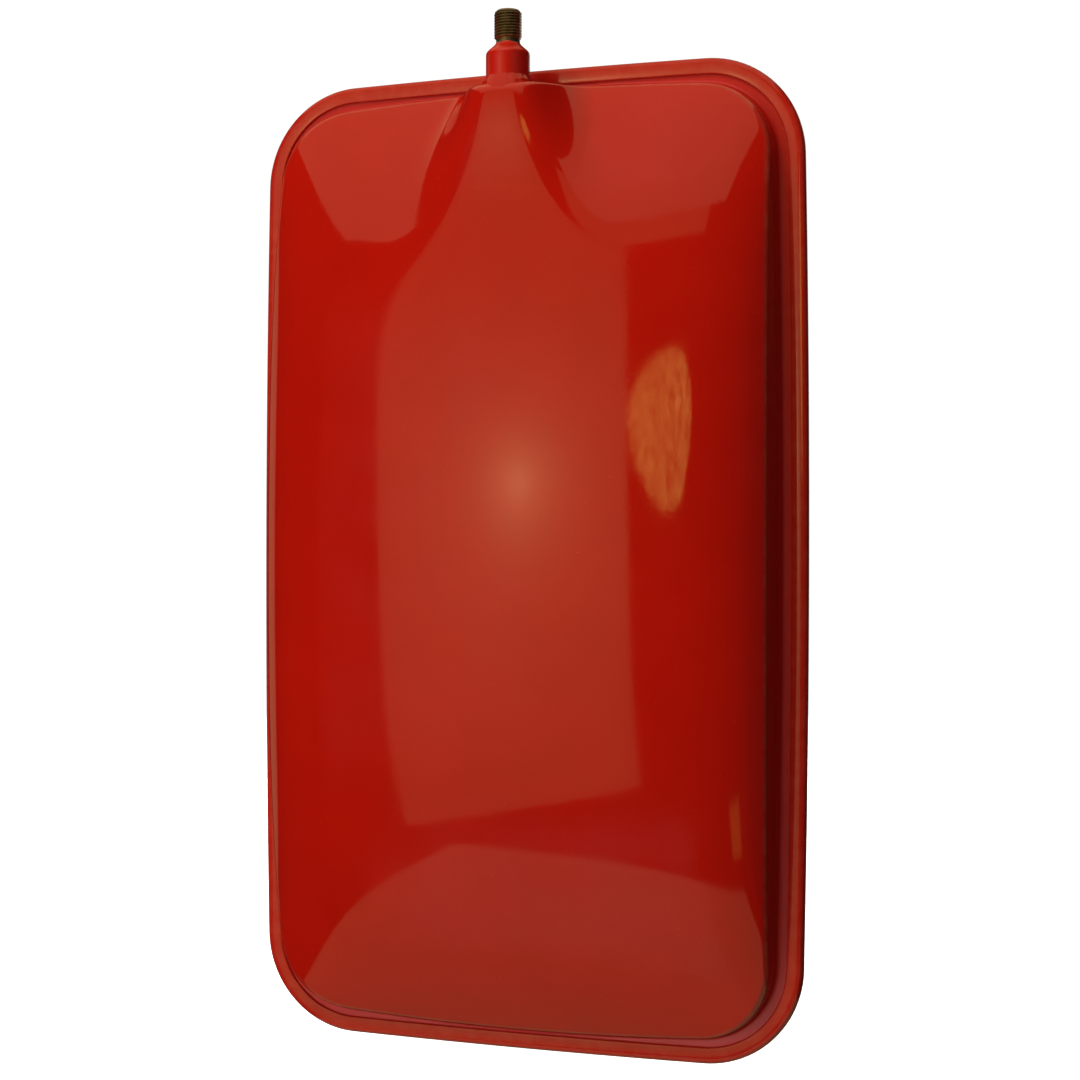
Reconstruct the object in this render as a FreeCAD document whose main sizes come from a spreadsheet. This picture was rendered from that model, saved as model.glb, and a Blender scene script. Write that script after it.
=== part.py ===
import FreeCAD, Part
import math
import os

import Sketcher
from FreeCAD import Placement, Rotation, Vector

# Flat rectangular expansion vessel with a lock seam, a top water spigot and a gas valve.
# X is the width, Y the depth (the water side faces -Y, the gas side +Y) and Z is up.
# Shapes are drawn about the vessel's centre: the middle of the seam's outline, on the
# parting plane between the front shell's flange and the diaphragm's rim.
# Placements then move that centre so that the file's origin is the middle of the
# spigot's sealing face, on the thread's axis.

# name, value, what it is
DRIVING_SIZES = (
    ("seam_half_width", 138.8, "seam, from the middle to a long side"),
    ("seam_half_height", 234.7, "seam, from the middle to a short side"),
    ("seam_corner_radius", 47.7, "seam, outer corner"),
    ("seam_long_bow", 9100.0, "seam, radius of a long side"),
    ("seam_short_bow", 5650.0, "seam, radius of a short side"),
    ("lip_width", 7.7, "folded lip, from the seam's edge inward"),
    ("lip_round", 2.6, "rounding of the fold"),
    ("sheet_thickness", 1.5, "pressed steel sheet"),
    ("long_wall_inset", 11.6, "seam's edge to the foot of a long wall"),
    ("short_wall_inset", 9.5, "seam's edge to the foot of a short wall"),
    ("wall_long_bow", 7200.0, "wall, radius of a long side"),
    ("wall_short_bow", 1250.0, "wall, radius of a short side"),
    ("wall_draft", 4.5, "wall's lean, degrees"),
    ("foot_radius", 2.0, "fillet from the flange to the wall"),
    ("ridge_radius", 4.5, "bend from the wall to the crown, outside"),
    ("crown_rise", 47.0, "crown above the parting plane, at the middle"),
    ("long_edge_rise", 24.0, "crown's edge at the middle of a long side"),
    ("end_rise", 6.5, "crown's edge at a short side"),
    ("nose_rise", 28.0, "bulge under the spigot, above the crown at the wall"),
    ("nose_length", 38.0, "reach of the bulge along the vessel"),
    ("nose_half_width", 22.7, "half width of the bulge at the wall"),
    ("nose_widening", 0.34, "gain in that half width per length from the wall"),
    ("diaphragm_thickness", 2.0, "rubber diaphragm and its clamped rim"),
    ("diaphragm_gap", 0.6, "diaphragm to the front shell"),
    ("spigot_forward", 23.5, "thread's axis in front of the parting plane"),
    ("port_radius", 4.0, "water passage"),
    ("tail_radius", 6.0, "fitting inside the shell"),
    ("tail_length", 3.0, "fitting past the inside of the shell"),
    ("tail_gap", 0.05, "fitting to its hole"),
    ("collar_radius", 10.4, "welded collar"),
    ("collar_start", 1.0, "collar above the wall's own face"),
    ("collar_height", 13.1, "collar, straight part"),
    ("shoulder_height", 6.1, "cone from the collar to the undercut"),
    ("undercut_radius", 5.65, "relief under the thread"),
    ("undercut_height", 1.2, "length of the relief"),
    ("thread_radius", 6.5785, "G1/4 thread, crest"),
    ("thread_length", 13.7, "thread, from the relief to the sealing face"),
    ("thread_pitch", 1.337, "G1/4 thread, 19 turns to the inch"),
    ("thread_depth", 0.856, "G1/4 thread, crest to root"),
    ("thread_lead", 1.4, "chamfer at the thread's start"),
    ("weld_leg", 2.6, "fillet weld under the collar"),
    ("weld_climb", 3.6, "fillet weld up the collar"),
    ("valve_hole_radius", 5.0, "hole in the rear shell"),
    ("stem_tail_radius", 4.95, "valve stem through the rear shell"),
    ("stem_tail_length", 5.0, "valve stem inside the rear shell"),
    ("stem_foot_radius", 7.0, "valve stem's foot"),
    ("stem_foot_height", 2.5, "valve stem's foot"),
    ("stem_neck_radius", 4.4, "plain neck"),
    ("stem_neck_top", 5.0, "top of the neck above the shell"),
    ("stem_thread_radius", 3.87, "8V1 cap thread, crest"),
    ("stem_thread_depth", 0.4, "8V1 cap thread, crest to root"),
    ("stem_thread_pitch", 0.794, "8V1 cap thread, 32 turns to the inch"),
    ("stem_height", 20.0, "stem above the shell"),
    ("stem_lead", 0.6, "chamfer at the stem's top"),
    ("air_radius", 2.0, "air passage through the stem"),
    ("core_bore_radius", 2.65, "bore that takes the valve core"),
    ("seat_foot", 7.5, "start of the core's conical seat"),
    ("seat_top", 9.5, "end of the core's conical seat"),
    ("valve_weld_leg", 2.0, "weld round the stem's foot"),
    ("barrel_radius", 2.0, "valve core's barrel"),
    ("barrel_foot", 9.6, "barrel's foot above the shell"),
    ("barrel_top", 14.3, "barrel's top above the shell"),
    ("barrel_floor", 0.8, "barrel's floor"),
    ("barrel_wall", 0.4, "barrel's wall"),
    ("packing_foot", 9.7, "sealing ring round the barrel"),
    ("packing_top", 11.3, "sealing ring round the barrel"),
    ("packing_gap", 0.03, "sealing ring to the bore"),
    ("plug_radius", 2.6, "threaded plug over the barrel"),
    ("plug_top", 18.0, "plug's top above the shell"),
    ("plug_bore_radius", 0.85, "plug's bore round the pin"),
    ("plug_slot_width", 1.1, "key slot across the plug"),
    ("plug_slot_depth", 1.5, "key slot across the plug"),
    ("pin_radius", 0.6, "valve pin"),
    ("pin_foot", 6.2, "pin's lower end above the shell"),
    ("pin_top", 19.2, "pin's upper end above the shell"),
    ("pin_collar_radius", 1.4, "collar that the spring pushes on"),
    ("pin_collar_foot", 13.8, "collar's lower face"),
    ("pin_collar_top", 14.2, "collar's upper face"),
    ("cup_radius", 1.5, "cup that holds the washer"),
    ("cup_foot", 6.9, "cup's foot above the shell"),
    ("washer_radius", 1.55, "sealing washer"),
    ("washer_foot", 8.6, "washer's foot above the shell"),
    ("spring_coil_radius", 1.1, "spring, middle of the wire"),
    ("spring_wire_radius", 0.16, "spring wire"),
    ("spring_turns", 5.0, "spring, turns"),
    ("spring_gap", 0.05, "spring to its faces and the pin's parts to each other"),
    ("cap_foot", 5.6, "cap's rim above the shell"),
    ("cap_top", 22.8, "cap's top above the shell"),
    ("cap_radius", 5.6, "cap, over the grips"),
    ("cap_bore_radius", 3.97, "cap's bore over the stem's thread"),
    ("cap_seal_thickness", 1.1, "rubber disc in the cap"),
    ("cap_round", 1.0, "rounding of the cap's top"),
    ("grip_radius", 0.45, "groove between two grips"),
    ("grip_count", 20.0, "grooves round the cap"),
)

CROWN_STEP = 6.0
CROWN_MARGIN = 14.0
PRISM_DEPTH = 120.0
SLOPE_STEP = 0.01
DRAFT_REACH = 70.0
WIRE_SIDES = 8

doc = FreeCAD.newDocument("expansion_vessel")
sheet = doc.addObject("Spreadsheet::Sheet", "Sizes")
nodes = []


def fill_sheet():
    for row, (alias, value, note) in enumerate(DRIVING_SIZES, start=1):
        sheet.set(f"A{row}", str(value))
        sheet.setAlias(f"A{row}", alias)
        sheet.set(f"B{row}", note)
    doc.recompute()


def size(alias):
    return float(sheet.get(alias))


def value_of(expression):
    """The value of aliases and numbers joined by + and -."""
    total = 0.0
    sign = 1.0
    for word in expression.split():
        if word in "+-":
            sign = 1.0 if word == "+" else -1.0
        else:
            total += sign * (float(word) if word[0].isdigit() else size(word))
    return total


def bound(expression):
    """The same expression, written with the sheet's own names."""
    words = expression.split()
    return " ".join(f"Sizes.{word}" if word[0].isalpha() else word for word in words)


# --- places that follow from the driving sizes ---------------------------------------


def wall_face(forward):
    """Height of the top wall's outer face at a distance in front of the parting plane."""
    lean = math.tan(math.radians(size("wall_draft")))
    return size("seam_half_height") - size("short_wall_inset") - forward * lean


def spigot_foot():
    return wall_face(size("spigot_forward"))


def spigot_top():
    stack = ("collar_start", "collar_height", "shoulder_height", "undercut_height")
    return spigot_foot() + sum(size(alias) for alias in stack) + size("thread_length")


def vessel_centre():
    """The vessel's centre, seen from the middle of the spigot's sealing face."""
    return Vector(0, size("spigot_forward"), -spigot_top())


def valve_foot():
    """Depth of the rear shell's outer face at the valve."""
    return size("diaphragm_thickness") + size("crown_rise")


def place(part, offset=Vector(0, 0, 0), rotation=Rotation()):
    part.Placement = Placement(vessel_centre() + offset, rotation)


def keep(part, label):
    part.Label = label
    nodes.append(part)
    return part


def shape_node(label, shape):
    """A node whose shape Part's functions made, about the vessel's centre."""
    part = doc.addObject("Part::Feature", label)
    part.Shape = shape
    place(part)
    return keep(part, label)


# --- outlines and crowns --------------------------------------------------------------


def corner_centre(width, height, corner, long_bow, short_bow):
    """Centre of the arc that touches both side arcs from inside."""
    to_long = Vector(width - long_bow, 0, 0)
    to_short = Vector(0, 0, height - short_bow)
    reach_long = long_bow - corner
    reach_short = short_bow - corner
    between = to_short - to_long
    span = between.Length
    along = (reach_long**2 - reach_short**2 + span**2) / (2 * span)
    across = math.sqrt(reach_long**2 - along**2)
    between.normalize()
    side = Vector(-between.z, 0, between.x)
    return to_long + between * along + side * across


def outline(width, height, corner, long_bow, short_bow, depth):
    """Closed outline of four bowed sides and four tangent corners, at one depth."""
    middle = corner_centre(width, height, corner, long_bow, short_bow)
    from_long = middle - Vector(width - long_bow, 0, 0)
    from_short = middle - Vector(0, 0, height - short_bow)
    from_long.normalize()
    from_short.normalize()
    bisector = from_long + from_short
    bisector.normalize()
    side_end = middle + from_long * corner
    corner_top = middle + bisector * corner
    end_start = middle + from_short * corner

    def at(point, x_sign, z_sign):
        return Vector(x_sign * point.x, depth, z_sign * point.z)

    side_middle = Vector(width, 0, 0)
    end_middle = Vector(0, 0, height)
    edges = []
    for x_sign, z_sign in ((1, 1), (-1, 1), (-1, -1), (1, -1)):
        corner_points = [at(p, x_sign, z_sign) for p in (side_end, corner_top, end_start)]
        if x_sign * z_sign > 0:
            start, finish = end_start, end_middle
            run = (at(start, x_sign, z_sign), at(finish, 1, z_sign), at(start, -x_sign, z_sign))
        else:
            corner_points.reverse()
            start, finish = side_end, side_middle
            run = (at(start, x_sign, z_sign), at(finish, x_sign, 1), at(start, x_sign, -z_sign))
        edges.append(Part.Arc(*corner_points).toShape())
        edges.append(Part.Arc(*run).toShape())
    return Part.Wire(edges)


def seam_outline(inset, depth):
    return outline(
        size("seam_half_width") - inset,
        size("seam_half_height") - inset,
        size("seam_corner_radius") - inset,
        size("seam_long_bow") - inset,
        size("seam_short_bow") - inset,
        depth,
    )


def wall_outline(inset, depth):
    corner_inset = (size("long_wall_inset") + size("short_wall_inset")) / 2
    return outline(
        size("seam_half_width") - size("long_wall_inset") - inset,
        size("seam_half_height") - size("short_wall_inset") - inset,
        size("seam_corner_radius") - corner_inset - inset,
        size("wall_long_bow") - inset,
        size("wall_short_bow") - inset,
        depth,
    )


def plate(wire, thickness):
    return Part.Face(wire).extrude(Vector(0, thickness, 0))


def crown_height(x, z):
    """Height of a shell's crown above its own flange's inner face."""
    across = x / (size("seam_half_width") - size("long_wall_inset"))
    along = z / (size("seam_half_height") - size("short_wall_inset"))
    end = size("end_rise")
    edge = end + (size("long_edge_rise") - end) * (1 - 0.7 * along**2 - 0.3 * along**4)
    middle = end + (size("crown_rise") - end) * (1 - 0.25 * along**2 - 0.75 * along**4)
    return edge + (middle - edge) * (1 - 0.35 * across**2 - 0.65 * across**8)


def nose_height(x, z):
    """Height above the crown of the bulge that carries the spigot."""
    from_wall = max(0.0, size("seam_half_height") - size("short_wall_inset") - z)
    half_width = size("nose_half_width") + size("nose_widening") * from_wall
    along = (from_wall / size("nose_length")) ** 1.5
    across = (x / half_width) ** 4
    return size("nose_rise") * math.exp(-along - across)


def front_height(x, z):
    """The front shell's crown with the bulge on it."""
    return crown_height(x, z) + nose_height(x, z)


def inside(height, depth):
    """The surface a sheet's depth below another, measured square to it."""

    def lowered(x, z):
        slope_x = (height(x + SLOPE_STEP, z) - height(x, z)) / SLOPE_STEP
        slope_z = (height(x, z + SLOPE_STEP) - height(x, z)) / SLOPE_STEP
        return height(x, z) - depth * math.sqrt(1 + slope_x**2 + slope_z**2)

    return lowered


def grid(reach):
    count = 2 * math.ceil(reach / CROWN_STEP)
    return [reach * (2 * step / count - 1) for step in range(count + 1)]


def crown_prism(height, base, facing):
    """Everything below a crown that faces along Y, -1 or +1, from a base depth."""
    margin = CROWN_MARGIN - size("long_wall_inset")
    xs = grid(size("seam_half_width") + margin)
    zs = grid(size("seam_half_height") + margin)
    points = [[Vector(x, base + facing * height(x, z), z) for z in zs] for x in xs]
    surface = Part.BSplineSurface()
    surface.interpolate(points)
    return surface.toShape().extrude(Vector(0, -facing * PRISM_DEPTH, 0))


def drafted_block(inset, base, facing):
    """The solid inside the walls, from a base depth outward."""
    lean = math.tan(math.radians(size("wall_draft")))
    foot = wall_outline(inset, base)
    top = wall_outline(inset + DRAFT_REACH * lean, base + facing * DRAFT_REACH)
    return Part.makeLoft([foot, top], True, True)


def edges_near(shape, distance_of, reach=0.02):
    """Edges whose start, middle and end all lie where distance_of is almost 0."""
    chosen = []
    for edge in shape.Edges:
        first, last = edge.ParameterRange
        places = [edge.valueAt(first + (last - first) * part) for part in (0.05, 0.5, 0.95)]
        if all(abs(distance_of(p)) < reach for p in places):
            chosen.append(edge)
    return chosen


def dome(height, inset, base, facing, bend):
    """A closed dome: drafted walls, a crown and a bend between them."""
    block = drafted_block(inset, base, facing)
    solid = block.common(crown_prism(height, base, facing))
    edges = edges_near(solid, lambda p: facing * (p.y - base) - height(p.x, p.z))
    return solid.makeFillet(bend, edges)


# --- shells and diaphragm -------------------------------------------------------------


def with_foot(solid, depth):
    """Rounds the corner where a dome's wall stands on its flange."""
    limit = size("lip_width") + 1.5 * size("sheet_thickness")
    reach = size("seam_half_height") - limit + 1.0

    def off_foot(p):
        on_flange = abs(p.y - depth)
        outside = max(abs(p.z) - reach, abs(p.x) - size("seam_half_width") + limit - 1.0, 0.0)
        return on_flange + outside

    edges = edges_near(solid, off_foot)
    return solid.makeFillet(size("foot_radius"), edges)


def front_shell():
    sheet_metal = size("sheet_thickness")
    outer = dome(front_height, 0.0, 0.0, -1, size("ridge_radius"))
    flange = plate(seam_outline(sheet_metal, 0.0), -sheet_metal)
    solid = with_foot(outer.fuse(flange).removeSplitter(), -sheet_metal)
    hollow = dome(
        inside(front_height, sheet_metal),
        sheet_metal,
        0.0,
        -1,
        size("ridge_radius") - sheet_metal,
    )
    hole_radius = size("tail_radius") + size("tail_gap")
    hole_foot = Vector(0, -size("spigot_forward"), spigot_foot() - 4 * sheet_metal)
    hole = Part.makeCylinder(hole_radius, 8 * sheet_metal, hole_foot)
    shape_node("front_shell", solid.cut(hollow).cut(hole))
    return outer


def rear_shell():
    sheet_metal = size("sheet_thickness")
    clamp = size("diaphragm_thickness")
    fold = plate(seam_outline(0.0, -2 * sheet_metal), 3 * sheet_metal + clamp)
    ends = (-2 * sheet_metal, sheet_metal + clamp)
    rim_edges = edges_near(fold, lambda p: min(abs(p.y - end) for end in ends))
    fold = fold.makeFillet(size("lip_round"), rim_edges)
    outer = dome(crown_height, 0.0, clamp, 1, size("ridge_radius"))
    solid = fold.fuse(outer).removeSplitter()
    solid = with_foot(solid, clamp + sheet_metal)
    channel = plate(seam_outline(sheet_metal, -sheet_metal), sheet_metal + clamp)
    mouth = plate(seam_outline(size("lip_width"), -3 * sheet_metal), 4 * sheet_metal)
    hollow = dome(
        inside(crown_height, sheet_metal),
        sheet_metal,
        clamp,
        1,
        size("ridge_radius") - sheet_metal,
    )
    hole_foot = Vector(0, valve_foot() - 4 * sheet_metal, 0)
    hole = Part.makeCylinder(
        size("valve_hole_radius"), 8 * sheet_metal, hole_foot, Vector(0, 1, 0)
    )
    shape_node("rear_shell", solid.cut(channel).cut(mouth).cut(hollow).cut(hole))


def diaphragm():
    gap = size("diaphragm_gap") + size("sheet_thickness")
    thick = size("diaphragm_thickness")
    bend = size("ridge_radius") - size("sheet_thickness")
    outer = dome(inside(crown_height, gap), gap, 0.0, -1, bend)
    inner = dome(inside(crown_height, gap + thick), gap + thick, 0.0, -1, bend / 2)
    rim = plate(seam_outline(size("sheet_thickness"), 0.0), thick)
    window = plate(wall_outline(gap + thick, -thick), 3 * thick)
    shape_node("diaphragm", outer.fuse(rim).cut(window.fuse(inner)))


# --- turned pieces --------------------------------------------------------------------


def profile(body, name, corners):
    """A closed polygon in the body's XZ plane, each corner bound to the sheet."""
    sketch = body.newObject("Sketcher::SketchObject", name)
    planes = {feature.Role: feature for feature in body.Origin.OriginFeatures}
    sketch.AttachmentSupport = (planes["XZ_Plane"], [""])
    sketch.MapMode = "FlatFace"
    places = [Vector(value_of(x), value_of(z), 0) for x, z in corners]
    for start, finish in zip(places, places[1:] + places[:1]):
        sketch.addGeometry(Part.LineSegment(start, finish), False)
    count = len(corners)
    for line in range(count):
        joined = Sketcher.Constraint("Coincident", line, 2, (line + 1) % count, 1)
        sketch.addConstraint(joined)
    for line, (corner, point) in enumerate(zip(corners, places)):
        for kind, expression, value in zip(("DistanceX", "DistanceY"), corner, point):
            index = sketch.addConstraint(Sketcher.Constraint(kind, line, 1, value))
            sketch.setExpression(f"Constraints[{index}]", bound(expression))
    return sketch


def turned(label, corners):
    """A body turned about Z from a profile of radii and heights."""
    body = doc.addObject("PartDesign::Body", label)
    sketch = profile(body, f"{label}_profile", corners)
    revolution = body.newObject("PartDesign::Revolution", f"{label}_turned")
    revolution.Profile = sketch
    revolution.ReferenceAxis = (sketch, ["V_Axis"])
    revolution.Angle = 360.0
    sketch.Visibility = False
    doc.recompute()
    return body


def thread_cutter(label, radius, depth, pitch, start, run):
    """A V-shaped thread groove, as a sweep along a helix at the thread's root."""
    helix = doc.addObject("Part::Helix", f"{label}_helix")
    helix.setExpression("Pitch", bound(pitch))
    helix.setExpression("Radius", bound(f"{radius} - {depth}"))
    helix.setExpression("Height", bound(run))
    helix.Placement.Base = Vector(0, 0, value_of(start))
    flank = math.tan(math.radians(27.5))
    root = value_of(f"{radius} - {depth}")
    mouth = value_of(radius) + 0.2 * value_of(depth)
    root_half = 0.08 * value_of(pitch)
    mouth_half = root_half + (mouth - root) * flank
    middle = value_of(start)
    corners = (
        (root, middle - root_half),
        (mouth, middle - mouth_half),
        (mouth, middle + mouth_half),
        (root, middle + root_half),
    )
    groove = doc.addObject("Part::Polygon", f"{label}_groove")
    groove.Nodes = [Vector(x, 0, z) for x, z in corners]
    groove.Close = True
    sweep = doc.addObject("Part::Sweep", f"{label}_cutter")
    sweep.Sections = [groove]
    sweep.Spine = (helix, ["Edge1"])
    sweep.Solid = True
    sweep.Frenet = True
    return sweep


def threaded(label, blank, cutter):
    cut = doc.addObject("Part::Cut", label)
    cut.Base = blank
    cut.Tool = cutter
    return keep(cut, label)


def connection_fitting():
    tail = "0 - sheet_thickness - tail_length"
    collar_top = "collar_start + collar_height"
    neck = f"{collar_top} + shoulder_height"
    thread_foot = f"{neck} + undercut_height"
    top = f"{thread_foot} + thread_length"
    blank = turned(
        "fitting_blank",
        (
            ("port_radius", tail),
            ("tail_radius", tail),
            ("tail_radius", "collar_start"),
            ("collar_radius", "collar_start"),
            ("collar_radius", collar_top),
            ("undercut_radius", neck),
            ("undercut_radius", thread_foot),
            ("thread_radius", f"{thread_foot} + thread_depth"),
            ("thread_radius", f"{top} - thread_lead"),
            ("thread_radius - thread_lead", top),
            ("port_radius", top),
        ),
    )
    run = "thread_length + thread_pitch + thread_pitch"
    start = f"{neck} - thread_depth"
    names = ("thread_radius", "thread_depth", "thread_pitch")
    cutter = thread_cutter("fitting", *names, start, run)
    fitting = threaded("connection_fitting", blank, cutter)
    place(fitting, Vector(0, -size("spigot_forward"), spigot_foot()))


def fitting_weld(front_outer):
    """A concave fillet weld, cut to the wall that it stands on."""
    collar = size("collar_radius")
    leg = size("weld_leg")
    foot = -size("collar_start")
    climb = size("weld_climb") + size("collar_start")
    toe = Vector(collar + leg, 0, foot)
    hollow = Vector(collar + 0.3 * leg, 0, foot + size("collar_start") + 0.3 * climb)
    crest = Vector(collar, 0, foot + size("collar_start") + climb)
    root = Vector(size("tail_radius"), 0, foot)
    under = Vector(size("tail_radius"), 0, size("collar_start"))
    step = Vector(collar, 0, size("collar_start"))
    edges = [
        Part.LineSegment(root, toe).toShape(),
        Part.Arc(toe, hollow, crest).toShape(),
        Part.LineSegment(crest, step).toShape(),
        Part.LineSegment(step, under).toShape(),
        Part.LineSegment(under, root).toShape(),
    ]
    section = Part.Face(Part.Wire(edges))
    ring = section.revolve(Vector(0, 0, 0), Vector(0, 0, 1), 360)
    ring.translate(Vector(0, -size("spigot_forward"), spigot_foot()))
    shape_node("fitting_weld", ring.cut(front_outer))


# --- gas valve ------------------------------------------------------------------------


def on_valve(part):
    """Turns a piece drawn along Z so that it points out of the rear shell."""
    place(part, Vector(0, valve_foot(), 0), Rotation(Vector(1, 0, 0), -90))


def valve_stem():
    blank = turned(
        "stem_blank",
        (
            ("air_radius", "0 - stem_tail_length"),
            ("stem_tail_radius", "0 - stem_tail_length"),
            ("stem_tail_radius", "0"),
            ("stem_foot_radius", "0"),
            ("stem_foot_radius", "stem_foot_height"),
            ("stem_neck_radius", "stem_foot_height"),
            ("stem_neck_radius", "stem_neck_top"),
            ("stem_thread_radius", "stem_neck_top"),
            ("stem_thread_radius", "stem_height - stem_lead"),
            ("stem_thread_radius - stem_lead", "stem_height"),
            ("core_bore_radius", "stem_height"),
            ("core_bore_radius", "seat_top"),
            ("air_radius", "seat_foot"),
        ),
    )
    run = "stem_height - stem_neck_top"
    start = "stem_neck_top + stem_thread_pitch"
    names = ("stem_thread_radius", "stem_thread_depth", "stem_thread_pitch")
    stem = threaded("valve_stem", blank, thread_cutter("stem", *names, start, run))
    on_valve(stem)


def valve_weld():
    ring = turned(
        "valve_weld",
        (
            ("stem_foot_radius", "0"),
            ("stem_foot_radius + valve_weld_leg", "0"),
            ("stem_foot_radius", "valve_weld_leg"),
        ),
    )
    on_valve(keep(ring, "valve_weld"))


def core_barrel():
    barrel = turned(
        "core_barrel",
        (
            ("pin_radius + spring_gap", "barrel_foot"),
            ("barrel_radius", "barrel_foot"),
            ("barrel_radius", "barrel_top"),
            ("barrel_radius - barrel_wall", "barrel_top"),
            ("barrel_radius - barrel_wall", "barrel_foot + barrel_floor"),
            ("pin_radius + spring_gap", "barrel_foot + barrel_floor"),
        ),
    )
    on_valve(keep(barrel, "core_barrel"))


def barrel_packing():
    ring = turned(
        "barrel_packing",
        (
            ("barrel_radius", "packing_foot"),
            ("core_bore_radius - packing_gap", "packing_foot"),
            ("core_bore_radius - packing_gap", "packing_top"),
            ("barrel_radius", "packing_top"),
        ),
    )
    on_valve(keep(ring, "barrel_packing"))


def core_plug():
    plug = turned(
        "core_plug",
        (
            ("plug_bore_radius", "barrel_top"),
            ("plug_radius", "barrel_top"),
            ("plug_radius", "plug_top"),
            ("plug_bore_radius", "plug_top"),
        ),
    )
    slot = profile(
        plug,
        "core_plug_slot",
        (
            ("0 - plug_slot_width", "plug_top - plug_slot_depth"),
            ("plug_slot_width", "plug_top - plug_slot_depth"),
            ("plug_slot_width", "plug_top + plug_slot_depth"),
            ("0 - plug_slot_width", "plug_top + plug_slot_depth"),
        ),
    )
    pocket = plug.newObject("PartDesign::Pocket", "core_plug_slotted")
    pocket.Profile = slot
    pocket.Type = "ThroughAll"
    pocket.Midplane = True
    slot.Visibility = False
    on_valve(keep(plug, "core_plug"))


def core_pin():
    pin = turned(
        "core_pin",
        (
            ("0", "pin_foot"),
            ("pin_radius", "pin_foot"),
            ("pin_radius", "pin_collar_foot"),
            ("pin_collar_radius", "pin_collar_foot"),
            ("pin_collar_radius", "pin_collar_top"),
            ("pin_radius", "pin_collar_top"),
            ("pin_radius", "pin_top"),
            ("0", "pin_top"),
        ),
    )
    on_valve(keep(pin, "core_pin"))


def pin_cup():
    cup = turned(
        "pin_cup",
        (
            ("pin_radius", "cup_foot"),
            ("cup_radius", "cup_foot"),
            ("cup_radius", "washer_foot"),
            ("pin_radius", "washer_foot"),
        ),
    )
    on_valve(keep(cup, "pin_cup"))


def seat_washer():
    washer = turned(
        "seat_washer",
        (
            ("pin_radius", "washer_foot"),
            ("washer_radius", "washer_foot"),
            ("washer_radius", "barrel_foot - spring_gap"),
            ("pin_radius", "barrel_foot - spring_gap"),
        ),
    )
    on_valve(keep(washer, "seat_washer"))


def core_spring():
    foot = "barrel_foot + barrel_floor + spring_gap + spring_wire_radius"
    free = "pin_collar_foot - spring_gap - spring_wire_radius"
    height = f"{free} - barrel_foot - barrel_floor - spring_gap - spring_wire_radius"
    helix = doc.addObject("Part::Helix", "spring_helix")
    helix.setExpression("Pitch", f"({bound(height)}) / Sizes.spring_turns")
    helix.setExpression("Height", bound(height))
    helix.setExpression("Radius", bound("spring_coil_radius"))
    wire = doc.addObject("Part::RegularPolygon", "spring_wire")
    wire.Polygon = WIRE_SIDES
    wire.setExpression("Circumradius", bound("spring_wire_radius"))
    wire.Placement = Placement(
        Vector(size("spring_coil_radius"), 0, 0), Rotation(Vector(1, 0, 0), 90)
    )
    spring = doc.addObject("Part::Sweep", "core_spring")
    spring.Sections = [wire]
    spring.Spine = (helix, ["Edge1"])
    spring.Solid = True
    spring.Frenet = True
    place(
        keep(spring, "core_spring"),
        Vector(0, valve_foot() + value_of(foot), 0),
        Rotation(Vector(1, 0, 0), -90),
    )


def valve_cap():
    cap = turned(
        "valve_cap",
        (
            ("cap_bore_radius", "cap_foot"),
            ("cap_radius", "cap_foot"),
            ("cap_radius", "cap_top - cap_round"),
            ("cap_radius - cap_round", "cap_top"),
            ("0", "cap_top"),
            ("0", "stem_height + cap_seal_thickness"),
            ("cap_bore_radius", "stem_height + cap_seal_thickness"),
        ),
    )
    planes = {feature.Role: feature for feature in cap.Origin.OriginFeatures}
    groove = cap.newObject("Sketcher::SketchObject", "grip_outline")
    groove.AttachmentSupport = (planes["XY_Plane"], [""])
    groove.MapMode = "FlatFace"
    centre = Vector(size("cap_radius"), 0, 0)
    groove.addGeometry(Part.Circle(centre, Vector(0, 0, 1), size("grip_radius")), False)
    groove.addConstraint(Sketcher.Constraint("PointOnObject", 0, 3, -1))
    across = groove.addConstraint(Sketcher.Constraint("DistanceX", 0, 3, centre.x))
    round_ = groove.addConstraint(Sketcher.Constraint("Radius", 0, size("grip_radius")))
    groove.setExpression(f"Constraints[{across}]", bound("cap_radius"))
    groove.setExpression(f"Constraints[{round_}]", bound("grip_radius"))
    pocket = cap.newObject("PartDesign::Pocket", "grip")
    pocket.Profile = groove
    pocket.Reversed = True
    pocket.setExpression("Length", bound("cap_top - cap_round - cap_round"))
    doc.recompute()
    grips = cap.newObject("PartDesign::PolarPattern", "grips")
    grips.Originals = [pocket]
    grips.Axis = (groove, ["N_Axis"])
    grips.Angle = 360.0
    grips.setExpression("Occurrences", bound("grip_count"))
    cap.Tip = grips
    groove.Visibility = False
    on_valve(keep(cap, "valve_cap"))


def cap_seal():
    disc = turned(
        "cap_seal",
        (
            ("0", "stem_height + spring_gap"),
            ("cap_bore_radius - spring_gap", "stem_height + spring_gap"),
            ("cap_bore_radius - spring_gap", "stem_height + cap_seal_thickness"),
            ("0", "stem_height + cap_seal_thickness"),
        ),
    )
    on_valve(keep(disc, "cap_seal"))


# --- build, check and write -----------------------------------------------------------


def check_and_write():
    doc.recompute()
    for thing in doc.Objects:
        if "Invalid" in thing.State or "Error" in thing.State:
            raise RuntimeError(f"{thing.Label} did not build: {thing.State}")
    for part in nodes:
        if part.Shape.isNull() or not part.Shape.isValid():
            raise RuntimeError(f"{part.Label} has no valid shape")
        if len(part.Shape.Solids) != 1:
            raise RuntimeError(f"{part.Label} has {len(part.Shape.Solids)} solids")
        print(f"{part.Label}: {part.Shape.Volume:.2f} mm3")
    os.makedirs("parts", exist_ok=True)
    for part in nodes:
        part.Shape.exportStep(os.path.join("parts", f"{part.Label}.step"))


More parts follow.
